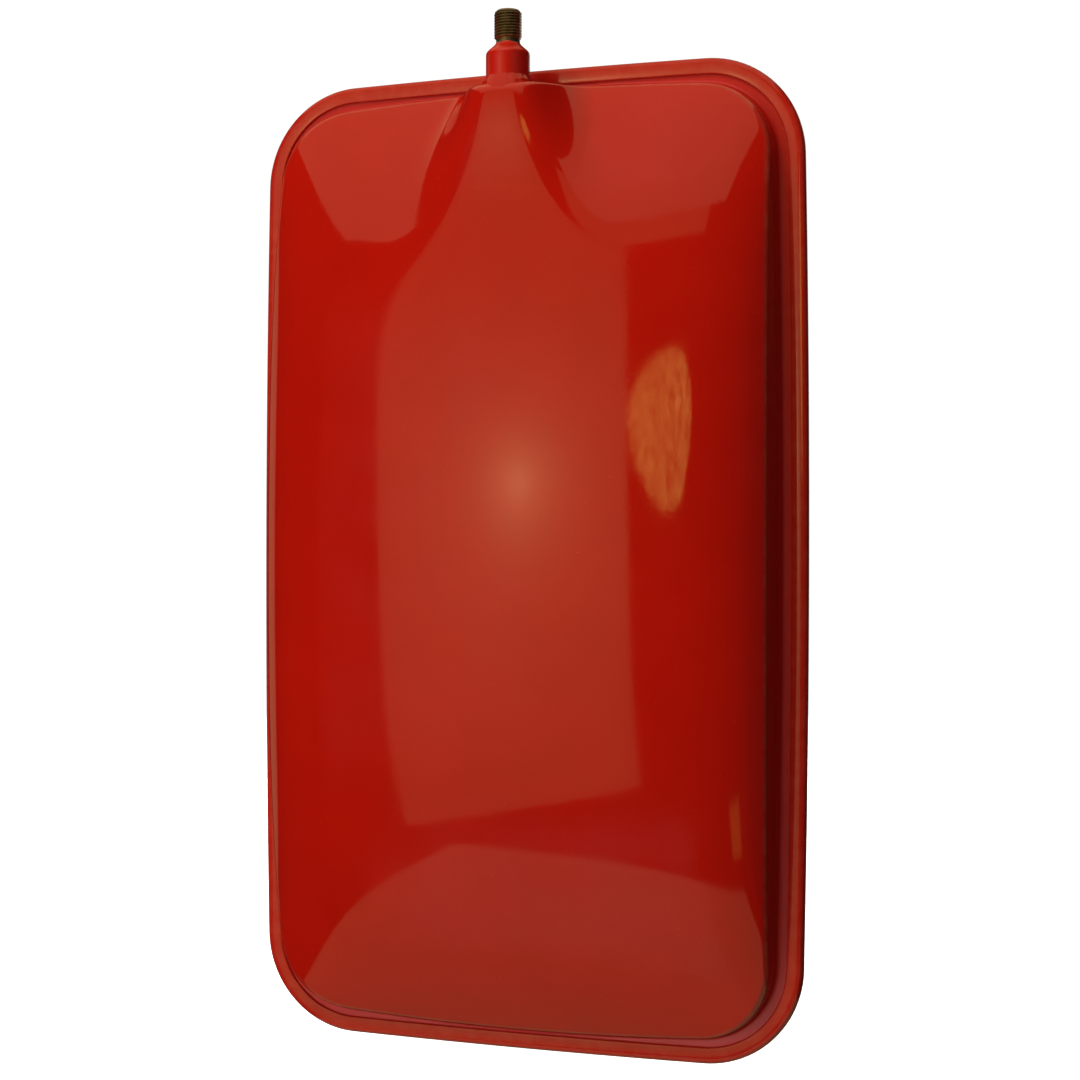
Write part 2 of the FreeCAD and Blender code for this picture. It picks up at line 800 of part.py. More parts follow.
def main():
    fill_sheet()
    front_outer = front_shell()
    rear_shell()
    diaphragm()
    connection_fitting()
    fitting_weld(front_outer)
    valve_stem()
    valve_weld()
    core_barrel()
    barrel_packing()
    core_plug()
    core_pin()
    pin_cup()
    seat_washer()
    core_spring()
    valve_cap()
    cap_seal()
    check_and_write()


main()
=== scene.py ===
import math

import bpy
import numpy as np
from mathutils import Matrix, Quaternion, Vector
from mathutils.bvhtree import BVHTree


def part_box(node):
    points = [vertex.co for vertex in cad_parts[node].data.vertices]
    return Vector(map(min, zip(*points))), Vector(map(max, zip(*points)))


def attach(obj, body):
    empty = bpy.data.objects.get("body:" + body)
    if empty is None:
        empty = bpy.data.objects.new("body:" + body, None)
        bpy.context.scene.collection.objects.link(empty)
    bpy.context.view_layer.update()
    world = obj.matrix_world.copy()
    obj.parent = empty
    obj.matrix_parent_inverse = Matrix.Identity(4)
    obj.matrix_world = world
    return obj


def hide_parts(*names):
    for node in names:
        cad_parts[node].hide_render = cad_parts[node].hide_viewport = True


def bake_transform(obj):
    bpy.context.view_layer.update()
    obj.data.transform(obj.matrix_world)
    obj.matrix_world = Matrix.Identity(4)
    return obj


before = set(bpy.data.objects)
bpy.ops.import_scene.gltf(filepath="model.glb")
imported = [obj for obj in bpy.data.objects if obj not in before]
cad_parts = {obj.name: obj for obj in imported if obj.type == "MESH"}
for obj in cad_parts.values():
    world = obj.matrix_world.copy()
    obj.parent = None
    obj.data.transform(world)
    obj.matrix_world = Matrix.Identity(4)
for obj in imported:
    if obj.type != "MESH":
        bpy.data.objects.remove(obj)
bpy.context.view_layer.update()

# A flat rectangular expansion vessel in glossy red paint. Shapes are worked out in
# millimetres about the vessel's centre: the middle of the seam's outline, on the plane
# where the two shells part. X is the width, Y the depth (the water side faces -Y) and
# Z is up. to_frame() turns them into metres in the model's own frame.

MM = 0.001

SHEET = 1.5
CLAMP = 2.0
REAR_LOW, REAR_HIGH = (np.array(corner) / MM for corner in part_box("rear_shell"))
FITTING_LOW, FITTING_HIGH = (np.array(corner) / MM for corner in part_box("connection_fitting"))
HALF_WIDTH, _, HALF_HEIGHT = (REAR_HIGH - REAR_LOW) / 2
CENTRE = np.array([0.0, REAR_LOW[1] + 2 * SHEET, (REAR_LOW[2] + REAR_HIGH[2]) / 2])

# Seam and walls.
SEAM_CORNER = 47.7
SEAM_BOWS = (9100.0, 5650.0)
WALL_INSETS = (11.6, 9.5)
WALL_CORNER = SEAM_CORNER - sum(WALL_INSETS) / 2
WALL_BOWS = (7200.0, 1250.0)
WALL_LEAN = math.radians(4.5)
LIP_WIDTH = 7.7
LIP_ROUND = 2.6
LIP_EDGE = 0.6
LIP_SAG = 0.35
SAG_AT_MIDDLE = 0.3
FOOT_RADIUS = 2.0
RIDGE_RADIUS = 4.5

# Crown and the bulge under the spigot. A fall gives, for each power of the distance
# from the middle, its share of the drop toward the wall.
CROWN_WIDTH = HALF_WIDTH - WALL_INSETS[0]
CROWN_HEIGHT = HALF_HEIGHT - WALL_INSETS[1]
CROWN_RISE = 47.0
LONG_EDGE_RISE = 24.0
END_RISE = 6.5
EDGE_FALL = {2: 0.7, 4: 0.3}
MIDDLE_FALL = {2: 0.25, 4: 0.75}
ACROSS_FALL = {2: 0.35, 8: 0.65}
NOSE_RISE = 28.0
NOSE_LENGTH = 38.0
NOSE_FADE = 1.5
NOSE_HALF_WIDTH = 22.7
NOSE_WIDENING = 0.34
NOSE_FLANK = 4
DIAPHRAGM_GAP = 0.6
DIAPHRAGM_EDGE_GAP = 0.2
CENTRE_PANEL = np.array([92.0, 188.0])

# Valve hole and spring.
VALVE_HOLE = 5.0
SPRING_WIRE = 0.16
SPRING_TURNS = 5

# Spigot, measured up from the foot of its axis on the top wall.
SPIGOT_FORWARD = CENTRE[1]
SPIGOT_FOOT = CROWN_HEIGHT - SPIGOT_FORWARD * math.tan(WALL_LEAN)
SPIGOT_TOP = -CENTRE[2] - SPIGOT_FOOT
SPIGOT_TAIL = FITTING_LOW[2] - CENTRE[2] - SPIGOT_FOOT
COLLAR_RADIUS = FITTING_HIGH[0]
COLLAR_TOP = 14.1
NECK = COLLAR_TOP + 6.1
NECK_RADIUS = 5.65
THREAD_FOOT = NECK + 1.2
THREAD_RADIUS = 6.5785
THREAD_DEPTH = 0.856
THREAD_PITCH = 1.337
THREAD_LEAD = 1.4
THREAD_RUN_IN = 1.08
CREST_SHAPE = 0.8
PORT_RADIUS = 4.0
PORT_CHAMFER = 0.3
TAIL_RADIUS = 6.0
TAIL_GAP = 0.05
HOLE_DEPTH = 8 * SHEET
BARE_BELOW_NECK = 0.6
BARE_EDGE_WAVE = (0.25, 5)

# Weld bead. A ripple is a height, a count round the bead and a phase.
WELD_LEG = 2.6
WELD_CLIMB = 3.6
WELD_RIPPLES = ((0.16, 17, 0), (0.08, 7, 1))
WELD_BULGE = 0.35
WELD_HOLLOW = 1.6
WELD_SINK = 0.8

# Rubbed edges, from 0 to 1 (at the ridge also a painted highlight line), and the rise over which
# dirt fades from the flange.
FOOT_WEAR = 0.15
RIM_WEAR = 0.6
RIDGE_WEAR_AND_HIGHLIGHT_START = 0.15
GRIME_START = 0.5
GRIME_TOP = 8.0
GRIME_FADE = 6.0

# Steps of the meshes and of the searches for their shapes.
LONG_STEPS = 36
CORNER_STEPS = 24
SHORT_STEPS = 34
SHORT_CROWDING = 1.35
FOOT_STEPS = 4
RIDGE_STEPS = 10
CROWN_STEPS = 14
CROWN_CROWDING = 1.25
LIP_STEPS = 6
LIP_EDGE_STEPS = 3
TURN_STEPS = 72
THREAD_STEPS = 10
CONE_STEPS = 14
WELD_STEPS = 7
SPRING_STEPS = 24
SPRING_SIDES = 10
SLOPE_STEP = 0.01
BEND_REACH = 25.0
HALVINGS = 40
SHARP_EDGE = math.radians(40)
CAD_SHARP_EDGE = math.radians(30)


def to_frame(points):
    return (np.asarray(points, float) + CENTRE) * MM


# --- outlines and heights --------------------------------------------------------------


def quarter(width, height, corner, bows):
    """Points and outward directions from the middle of the right side to the top's."""
    long_bow, short_bow = bows
    to_long = np.array([width - long_bow, 0.0])
    to_short = np.array([0.0, height - short_bow])
    between = to_short - to_long
    span = np.hypot(*between)
    along = ((long_bow - corner) ** 2 - (short_bow - corner) ** 2 + span**2) / (2 * span)
    across = math.sqrt((long_bow - corner) ** 2 - along**2)
    between = between / span
    middle = to_long + between * along + np.array([-between[1], between[0]]) * across
    side_end = math.atan2(*(middle - to_long)[::-1])
    end_start = math.atan2(*(middle - to_short)[::-1])
    top_from = middle[0] + corner * math.cos(end_start)
    across_top = top_from * np.linspace(1, 0, SHORT_STEPS + 1) ** SHORT_CROWDING
    arcs = (
        (to_long, long_bow, np.linspace(0, side_end, LONG_STEPS + 1)[:-1]),
        (middle, corner, np.linspace(side_end, end_start, CORNER_STEPS + 1)[:-1]),
        (to_short, short_bow, np.arccos(across_top / short_bow)),
    )
    turns = np.concatenate([angles for _, _, angles in arcs])
    facing = np.column_stack([np.cos(turns), np.sin(turns)])
    radii = np.concatenate([np.full(len(angles), radius) for _, radius, angles in arcs])
    centres = np.concatenate([np.tile(spot, (len(angles), 1)) for spot, _, angles in arcs])
    return centres + radii[:, None] * facing, facing


def ring(width, height, corner, bows):
    """The whole outline, anticlockwise from the middle of the lower right corner."""
    halves = []
    for part in quarter(width, height, corner, bows):
        upper = np.concatenate([part[:-1], (part * [-1, 1])[::-1][:-1]])
        whole = np.concatenate([upper, upper * [-1, -1]])
        halves.append(np.roll(whole, LONG_STEPS + CORNER_STEPS // 2, axis=0))
    return halves


def seam_ring(inset):
    bows = [bow - inset for bow in SEAM_BOWS]
    return ring(HALF_WIDTH - inset, HALF_HEIGHT - inset, SEAM_CORNER - inset, bows)


def wall_ring(inset):
    bows = [bow - inset for bow in WALL_BOWS]
    return ring(CROWN_WIDTH - inset, CROWN_HEIGHT - inset, WALL_CORNER - inset, bows)


def left_of(fall, distance):
    """What a fall leaves at a distance, which is 1 at the wall."""
    return 1 - sum(share * distance**power for power, share in fall.items())


def crown_height(x, z):
    along = z / CROWN_HEIGHT
    edge = END_RISE + (LONG_EDGE_RISE - END_RISE) * left_of(EDGE_FALL, along)
    middle = END_RISE + (CROWN_RISE - END_RISE) * left_of(MIDDLE_FALL, along)
    return edge + (middle - edge) * left_of(ACROSS_FALL, x / CROWN_WIDTH)


def front_height(x, z):
    """The crown with the bulge that carries the spigot on it."""
    from_wall = np.maximum(0.0, CROWN_HEIGHT - z)
    along = (from_wall / NOSE_LENGTH) ** NOSE_FADE
    across = (x / (NOSE_HALF_WIDTH + NOSE_WIDENING * from_wall)) ** NOSE_FLANK
    return crown_height(x, z) + NOSE_RISE * np.exp(-along - across)


def sunk(height, depth):
    """The surface a sheet's depth below another, measured square to it."""

    def lowered(x, z):
        slope_x = (height(x + SLOPE_STEP, z) - height(x, z)) / SLOPE_STEP
        slope_z = (height(x, z + SLOPE_STEP) - height(x, z)) / SLOPE_STEP
        return height(x, z) - depth * np.sqrt(1 + slope_x**2 + slope_z**2)

    return lowered


# --- meshes ----------------------------------------------------------------------------


class Skin:
    """One side of a pressed sheet: rows round the dome and the panel inside them."""

    def __init__(self, height, inset, bend, foot=0.0):
        self.height = height
        self.points, self.facing = wall_ring(inset)
        self.rows = []
        self.wear_and_highlight = []
        if foot:
            self.add_foot(foot)
        else:
            self.add(self.section(0.0, 0.0), 0.0)
        touch = self.add_ridge(bend)
        self.add_crown(touch)
        self.panel = self.make_panel()

    def add(self, row, wear_and_highlight):
        self.rows.append(row)
        self.wear_and_highlight.append(wear_and_highlight)

    def section(self, inward, rise):
        flat = self.points - self.facing * np.reshape(inward, (-1, 1))
        return np.column_stack([flat, np.broadcast_to(rise, len(flat))])

    def rise_at(self, inward):
        flat = self.points - self.facing * inward[:, None]
        return self.height(flat[:, 0], flat[:, 1])

    def add_foot(self, foot):
        middle_rise = SHEET + foot
        middle = middle_rise * math.tan(WALL_LEAN) - foot / math.cos(WALL_LEAN)
        for turn in np.linspace(-math.pi / 2, -WALL_LEAN, FOOT_STEPS + 1):
            inward = middle + foot * math.cos(turn)
            self.add(self.section(inward, middle_rise + foot * math.sin(turn)), FOOT_WEAR)

    def ball(self, touch, bend):
        """Centre of a ball of the bend's radius that touches the crown from below."""
        rise = self.rise_at(touch)
        slope = (self.rise_at(touch + SLOPE_STEP) - rise) / SLOPE_STEP
        length = np.hypot(1, slope)
        return touch + bend * slope / length, rise - bend / length, np.arctan2(1, -slope)

    def add_ridge(self, bend):
        """The bend from the wall to the crown. Gives where it meets the crown."""
        low = np.zeros(len(self.points))
        high = np.full(len(self.points), BEND_REACH)
        for _ in range(HALVINGS):
            touch = (low + high) / 2
            inward, rise, _ = self.ball(touch, bend)
            past = inward * math.cos(WALL_LEAN) - rise * math.sin(WALL_LEAN) > bend
            high = np.where(past, touch, high)
            low = np.where(past, low, touch)
        inward, rise, crown_turn = self.ball(touch, bend)
        wall_turn = math.pi - WALL_LEAN
        for share in np.linspace(0, 1, RIDGE_STEPS + 1):
            turn = wall_turn + (crown_turn - wall_turn) * share
            row = self.section(inward + bend * np.cos(turn), rise + bend * np.sin(turn))
            # The ridge rows get rubbed paint plus a painted highlight: a lighter line that peaks
            # in the middle of the bend.
            across = RIDGE_WEAR_AND_HIGHLIGHT_START + (1 - 2 * RIDGE_WEAR_AND_HIGHLIGHT_START) * share
            self.add(row, math.sin(math.pi * across) ** 2)
        return touch

    def add_crown(self, touch):
        start = self.section(touch, 0.0)[:, :2]
        corner = np.abs(self.points[0])
        finish = np.clip(self.points * CENTRE_PANEL / corner, -CENTRE_PANEL, CENTRE_PANEL)
        for share in np.linspace(0, 1, CROWN_STEPS + 1)[1:] ** CROWN_CROWDING:
            flat = start + (finish - start) * share
            rise = self.height(flat[:, 0], flat[:, 1])
            self.add(np.column_stack([flat, rise]), 0.0)

    def make_panel(self):
        edge = self.rows[-1]
        up = 2 * LONG_STEPS + CORNER_STEPS
        along = edge[: up + 1, 1]
        across = edge[up : up + len(edge) // 2 - up + 1, 0][::-1]
        x, z = np.meshgrid(across[1:-1], along[1:-1])
        return np.dstack([x, z, self.height(x, z)])


def strip_faces(first, second, count):
    """Quads between two rows of a closed ring."""
    around = np.arange(count)
    following = np.roll(around, -1)
    return np.column_stack(
        [first + around, first + following, second + following, second + around]
    )


def panel_faces(edge, inner, shape, count):
    """Quads of the middle panel, whose edge is a row of the ring."""
    rows, columns = shape[0] + 2, shape[1] + 2
    index = np.zeros((rows, columns), int)
    up, over = rows - 1, columns - 1
    index[:, over] = edge + np.arange(rows)
    index[up, ::-1] = edge + up + np.arange(columns)
    index[::-1, 0] = edge + up + over + np.arange(rows)
    index[0, :] = edge + (2 * up + over + np.arange(columns)) % count
    index[1:-1, 1:-1] = inner + np.arange(shape[0] * shape[1]).reshape(shape[:2])
    corners = (index[:-1, :-1], index[:-1, 1:], index[1:, 1:], index[1:, :-1])
    return np.stack(corners, axis=-1).reshape(-1, 4)


def mesh_object(name, points, faces, finish, attributes=None):
    """A smooth mesh from points in millimetres about the vessel's centre."""
    mesh = bpy.data.meshes.new(name)
    mesh.from_pydata(to_frame(points).tolist(), [], [list(map(int, face)) for face in faces])
    for key, values in (attributes or {}).items():
        layer = mesh.attributes.new(key, "FLOAT", "POINT")
        layer.data.foreach_set("value", np.asarray(values, np.float32))
    mesh.validate()
    mesh.shade_smooth()
    mesh.set_sharp_from_angle(angle=SHARP_EDGE)
    mesh.materials.append(finish)
    made = bpy.data.objects.new(name, mesh)
    bpy.context.scene.collection.objects.link(made)
    return made


def pressed_sheet(name, side, inner, rim, outer, finish):
    """A closed sheet: the inner skin, the rim's rows and the outer skin. side places a
    skin's rise along the depth."""
    rows = inner.rows[::-1] + rim + outer.rows
    wear_and_highlight = [0.0] * len(inner.rows) + [RIM_WEAR] * len(rim) + outer.wear_and_highlight
    count = len(rows[0])
    panels = (inner.panel.reshape(-1, 3), outer.panel.reshape(-1, 3))
    points = np.concatenate(rows + list(panels))
    ring_points = count * len(rows)
    faces = [strip_faces(count * k, count * (k + 1), count) for k in range(len(rows) - 1)]
    faces.append(panel_faces(0, ring_points, inner.panel.shape, count)[:, ::-1])
    last = ring_points - count
    faces.append(panel_faces(last, ring_points + len(panels[0]), outer.panel.shape, count))
    faces = np.concatenate(faces)
    if side(1.0) < side(0.0):
        faces = faces[:, ::-1]
    rise = points[:, 2]
    grime = np.clip((GRIME_TOP - rise) / GRIME_FADE, 0, 1) * (rise > GRIME_START)
    points = np.column_stack([points[:, 0], side(rise), points[:, 1]])
    worn_and_highlit = np.repeat(wear_and_highlight, count)
    worn_and_highlit = np.concatenate([worn_and_highlit, np.zeros(len(points) - ring_points)])
    return mesh_object(name, points, faces[:, ::-1], finish, {"wear_and_highlight": worn_and_highlit, "grime": grime})


def flat_row(points, rise):
    return np.column_stack([points, np.full(len(points), rise)])


def front_side(rise):
    return -rise


def rear_side(rise):
    return CLAMP + rise


def lathe(name, rows, finish, twist=None):
    """A closed ring turned about the spigot's axis. rows are radii and heights, and
    twist, where given, makes each row's radii from the angles round the axis."""
    angles = np.arange(TURN_STEPS) * 2 * math.pi / TURN_STEPS
    count = len(angles)
    points = []
    for radius, height in rows:
        radii = twist(radius, height, angles) if twist else np.full(count, radius)
        x = radii * np.cos(angles)
        y = radii * np.sin(angles) - SPIGOT_FORWARD
        points.append(np.column_stack([x, y, np.broadcast_to(height, count) + SPIGOT_FOOT]))
    total = len(points)
    faces = [strip_faces(count * k, count * ((k + 1) % total), count) for k in range(total)]
    return mesh_object(name, np.concatenate(points), np.concatenate(faces), finish)


def cut_hole(piece, centre, axis, radius, depth):
    """A round hole through a sheet."""
    bpy.ops.mesh.primitive_cylinder_add(
        vertices=TURN_STEPS,
        radius=radius * MM,
        depth=depth * MM,
        location=to_frame(centre),
        rotation=Vector((0, 0, 1)).rotation_difference(Vector(axis)).to_euler(),
    )
    tool = bpy.context.object
    cut = piece.modifiers.new("hole", "BOOLEAN")
    cut.operation = "DIFFERENCE"
    cut.solver = "MANIFOLD"
    cut.object = tool
    evaluated = piece.evaluated_get(bpy.context.evaluated_depsgraph_get())
    holed = bpy.data.meshes.new_from_object(evaluated)
    piece.modifiers.clear()
    piece.data = holed
    bpy.data.objects.remove(tool)


# --- materials -------------------------------------------------------------------------


class Finish:
    """A node material with colour, roughness and bump that vary over the surface."""

    def __init__(self, name, metallic=0.0):
        self.material = bpy.data.materials.new(name)
        self.material.use_nodes = True
        self.tree = self.material.node_tree
        self.shader = self.tree.nodes["Principled BSDF"]
        self.shader.inputs["Metallic"].default_value = metallic
        self.place = self.add("ShaderNodeTexCoord").outputs["Object"]

    def add(self, kind, **inputs):
        node = self.tree.nodes.new(kind)
        for key, value in inputs.items():
            socket = node.inputs[key.replace("_", " ")]
            if isinstance(value, bpy.types.NodeSocket):
                self.tree.links.new(value, socket)
            else:
                socket.default_value = value
        return node

    def noise(self, wavelength, detail=3.0, stretch=None):
        """Noise with a wavelength in millimetres, from 0 to 1."""
        place = self.place
        if stretch:
            scaled = self.add("ShaderNodeMapping", Vector=place)
            scaled.inputs["Scale"].default_value = stretch
            place = scaled.outputs["Vector"]
        scale = 1 / (wavelength * MM)
        node = self.add("ShaderNodeTexNoise", Vector=place, Scale=scale, Detail=detail)
        return node.outputs["Fac"]

    def spread(self, value, low, high, start=0.3, finish=0.7):
        """A value between start and finish, mapped from low to high."""
        limits = {"From_Min": start, "From_Max": finish, "To_Min": low, "To_Max": high}
        return self.add("ShaderNodeMapRange", Value=value, **limits).outputs["Result"]

    def blend(self, share, first, second):
        node = self.tree.nodes.new("ShaderNodeMix")
        node.data_type = "RGBA"
        colours = [socket for socket in node.inputs if socket.type == "RGBA"]
        self.tree.links.new(share, node.inputs[0])
        for socket, value in zip(colours, (first, second)):
            if isinstance(value, bpy.types.NodeSocket):
                self.tree.links.new(value, socket)
            else:
                socket.default_value = (*value, 1.0)
        return [socket for socket in node.outputs if socket.type == "RGBA"][0]

    def work_out(self, operation, first, second):
        node = self.tree.nodes.new("ShaderNodeMath")
        node.operation = operation
        for socket, value in zip(node.inputs, (first, second)):
            if isinstance(value, bpy.types.NodeSocket):
                self.tree.links.new(value, socket)
            else:
                socket.default_value = value
        return node.outputs[0]

    def attribute(self, name):
        node = self.tree.nodes.new("ShaderNodeAttribute")
        node.attribute_name = name
        return node.outputs["Fac"]

    def colour(self, value):
        self.tree.links.new(value, self.shader.inputs["Base Color"])

    def roughness(self, value):
        self.tree.links.new(value, self.shader.inputs["Roughness"])

    def bump(self, layers):
        """Bumps from pairs of a height and its size in millimetres."""
        normal = None
        for height, size in layers:
            node = self.add("ShaderNodeBump", Height=height, Distance=size * MM)
            if normal:
                self.tree.links.new(normal, node.inputs["Normal"])
            normal = node.outputs["Normal"]
        self.tree.links.new(normal, self.shader.inputs["Normal"])


def paint(name, deep, bright, worn_and_highlit, gloss=0.045):
    """Stoved gloss paint on sheet steel: orange peel, dirt, rubbed edges, and a painted highlight
    line along the ridge in the rubbed-edge colour.
    """
    made = Finish(name)
    cloud = made.spread(made.noise(38.0), 0.0, 1.0)
    base = made.blend(cloud, deep, bright)
    grit = made.noise(1.1, detail=1.0)
    specks = made.spread(grit, 0.0, 0.3, start=0.72, finish=0.78)
    base = made.blend(specks, base, worn_and_highlit)
    chips = made.spread(made.noise(7.0, detail=6.0), 0.45, 1.0, start=0.42, finish=0.66)
    # Rubbed edges blend to the lighter undercoat colour. Along the ridge this lighter line is
    # painted highlight as well as wear.
    wear_and_highlight = made.attribute("wear_and_highlight")
    rubbed_and_highlit = made.work_out("MULTIPLY", made.work_out("MULTIPLY", wear_and_highlight, wear_and_highlight), chips)
    rubbed_and_highlit = made.work_out("MULTIPLY", rubbed_and_highlit, 0.8)
    base = made.blend(rubbed_and_highlit, base, worn_and_highlit)
    made.colour(base)
    haze = made.spread(made.noise(22.0, detail=5.0), gloss, gloss + 0.04)
    dirt = made.work_out("MULTIPLY", made.attribute("grime"), 0.4)
    made.roughness(made.work_out("ADD", haze, dirt))
    peel = made.noise(2.6, detail=1.0)
    wave = made.noise(46.0, detail=1.0)
    made.bump([(wave, 0.05), (peel, 0.006), (grit, 0.002)])
    return made.material


def metal(name, deep, bright, rough, grain=0.4, stretch=None):
    """Turned or drawn metal with tool marks and dull stains."""
    made = Finish(name, metallic=1.0)
    stains = made.spread(made.noise(3.0, detail=5.0), 0.0, 1.0)
    made.colour(made.blend(stains, deep, bright))
    made.roughness(made.spread(made.noise(1.5, detail=4.0), rough, rough + 0.18))
    made.bump([(made.noise(grain, stretch=stretch), 0.01)])
    return made.material


def rubber(name, deep, bright, rough=0.55):
    """Moulded rubber or plastic with a fine bloom."""
    made = Finish(name)
    bloom = made.spread(made.noise(9.0, detail=6.0), 0.0, 1.0)
    made.colour(made.blend(bloom, deep, bright))
    made.roughness(made.spread(made.noise(4.0), rough, rough + 0.15))
    made.bump([(made.noise(0.5), 0.012), (made.noise(3.0), 0.02)])
    return made.material


# Light orange undercoat, shown on rubbed edges and specks. Along the ridge it also paints a
# highlight line.
UNDERCOAT_AND_RIDGE_HIGHLIGHT = (0.55, 0.065, 0.035)
RED = paint("red_paint", (0.46, 0.0062, 0.0013), (0.49, 0.0072, 0.0017), UNDERCOAT_AND_RIDGE_HIGHLIGHT)
FITTING_RED = paint(
    "fitting_paint", (0.5, 0.0075, 0.0025), (0.55, 0.012, 0.005), (0.6, 0.08, 0.04), gloss=0.24
)
REAR_RED = paint("rear_paint", (0.45, 0.0062, 0.0013), (0.48, 0.0072, 0.0017), UNDERCOAT_AND_RIDGE_HIGHLIGHT)
STEEL = metal("spigot_steel", (0.22, 0.18, 0.11), (0.36, 0.31, 0.21), 0.36)
VALVE_STEEL = metal("valve_steel", (0.42, 0.42, 0.41), (0.6, 0.6, 0.58), 0.25)
BRASS = metal("valve_brass", (0.5, 0.31, 0.1), (0.68, 0.46, 0.18), 0.25, stretch=(1, 8, 1))
BUTYL = rubber("butyl_rubber", (0.012, 0.012, 0.013), (0.03, 0.03, 0.031))
PACKING = rubber("packing_rubber", (0.02, 0.02, 0.02), (0.05, 0.045, 0.04))
PLASTIC = rubber("cap_plastic", (0.012, 0.012, 0.013), (0.024, 0.024, 0.026), rough=0.35)


# --- the vessel ------------------------------------------------------------------------


def front_shell():
    outer = Skin(front_height, 0.0, RIDGE_RADIUS, FOOT_RADIUS)
    inner = Skin(sunk(front_height, SHEET), SHEET, RIDGE_RADIUS - SHEET)
    edge, _ = seam_ring(SHEET)
    rim = [flat_row(edge, 0.0), flat_row(edge, SHEET)]
    piece = pressed_sheet("front_shell_sheet", front_side, inner, rim, outer, RED)
    hole = (0, -SPIGOT_FORWARD, SPIGOT_FOOT)
    cut_hole(piece, hole, (0, 0, 1), TAIL_RADIUS + TAIL_GAP, HOLE_DEPTH)
    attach(piece, "vessel")
    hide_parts("front_shell")
    return piece


def fold_rows():
    """The folded edge: over the outside, round the lip and back into the channel."""
    front = -CLAMP - 2 * SHEET
    rows = []
    for turn in np.linspace(math.pi / 2, 0, LIP_STEPS + 1):
        inset = LIP_ROUND * (1 - math.cos(turn))
        rows.append((inset, SHEET - LIP_ROUND * (1 - math.sin(turn))))
    for turn in np.linspace(0, -math.pi / 2, LIP_STEPS + 1):
        inset = LIP_ROUND * (1 - math.cos(turn))
        rows.append((inset, front + LIP_ROUND * (1 + math.sin(turn))))
    inner_edge = LIP_WIDTH - LIP_EDGE
    low = front + LIP_SAG
    rows.append(((LIP_ROUND + inner_edge) / 2, front + SAG_AT_MIDDLE * LIP_SAG))
    for turn in np.linspace(-math.pi / 2, 0, LIP_EDGE_STEPS + 1):
        inset = inner_edge + LIP_EDGE * math.cos(turn)
        rows.append((inset, low + LIP_EDGE * (1 + math.sin(turn))))
    rows.append((LIP_WIDTH, -CLAMP - SHEET))
    rows.append((SHEET, -CLAMP - SHEET))
    rows.append((SHEET, 0.0))
    return [flat_row(seam_ring(inset)[0], rise) for inset, rise in rows]


def rear_shell():
    outer = Skin(crown_height, 0.0, RIDGE_RADIUS, FOOT_RADIUS)
    inner = Skin(sunk(crown_height, SHEET), SHEET, RIDGE_RADIUS - SHEET)
    rim = fold_rows()[::-1]
    piece = pressed_sheet("rear_shell_sheet", rear_side, inner, rim, outer, REAR_RED)
    hole = (0, CLAMP + CROWN_RISE, 0)
    cut_hole(piece, hole, (0, 1, 0), VALVE_HOLE, HOLE_DEPTH)
    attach(piece, "vessel")
    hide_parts("rear_shell")


def diaphragm():
    gap = SHEET + DIAPHRAGM_GAP
    bend = RIDGE_RADIUS - SHEET
    outer = Skin(sunk(crown_height, gap), gap, bend)
    inner = Skin(sunk(crown_height, gap + CLAMP), gap + CLAMP, bend / 2)
    edge, _ = seam_ring(SHEET + DIAPHRAGM_EDGE_GAP)
    rim = [flat_row(inner.points, -CLAMP), flat_row(edge, -CLAMP), flat_row(edge, 0.0)]
    piece = pressed_sheet("diaphragm_sheet", front_side, inner, rim, outer, BUTYL)
    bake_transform(piece)
    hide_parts("diaphragm")


def thread_radius(radius, height, angles):
    """Radii of one row of the fitting: plain below the relief, threaded above it."""
    if height < THREAD_FOOT or radius <= PORT_RADIUS:
        return np.full(len(angles), radius)
    turn = height / THREAD_PITCH - angles / (2 * math.pi)
    crest = 0.5 + 0.5 * np.cos(2 * math.pi * turn)
    groove = THREAD_RADIUS - THREAD_DEPTH * (1 - crest**CREST_SHAPE)
    return np.minimum(groove, radius)


def fitting_rows():
    """Radii and heights of the fitting: tail, collar, cone, thread and bore."""
    rows = [(PORT_RADIUS + PORT_CHAMFER, SPIGOT_TAIL), (TAIL_RADIUS - PORT_CHAMFER, SPIGOT_TAIL)]
    rows += [(TAIL_RADIUS, SPIGOT_TAIL + PORT_CHAMFER), (TAIL_RADIUS, 0.99)]
    rows += [(TAIL_RADIUS + 0.01, 1.0), (COLLAR_RADIUS - 0.01, 1.0), (COLLAR_RADIUS, 1.02)]
    rows += [(COLLAR_RADIUS, height) for height in np.linspace(3, COLLAR_TOP, 9)]
    for share in np.linspace(0, 1, CONE_STEPS + 1)[1:]:
        fall = share * share * (3 - 2 * share)
        radius = COLLAR_RADIUS + (NECK_RADIUS - COLLAR_RADIUS) * fall
        rows.append((radius, COLLAR_TOP + (NECK - COLLAR_TOP) * share))
    rows.append((NECK_RADIUS, THREAD_FOOT - 0.01))
    threads = (SPIGOT_TOP - THREAD_FOOT) / THREAD_PITCH
    for height in np.linspace(THREAD_FOOT, SPIGOT_TOP, int(threads * THREAD_STEPS)):
        blank = NECK_RADIUS + min(height - THREAD_FOOT, THREAD_DEPTH) * THREAD_RUN_IN
        lead = THREAD_RADIUS - THREAD_LEAD + (SPIGOT_TOP - height)
        rows.append((min(blank, lead, THREAD_RADIUS), height))
    rows.append((PORT_RADIUS + PORT_CHAMFER, SPIGOT_TOP))
    rows.append((PORT_RADIUS, SPIGOT_TOP - PORT_CHAMFER))
    bore = np.linspace(SPIGOT_TOP - 1, SPIGOT_TAIL + PORT_CHAMFER, 12)
    rows += [(PORT_RADIUS, height) for height in bore]
    return rows


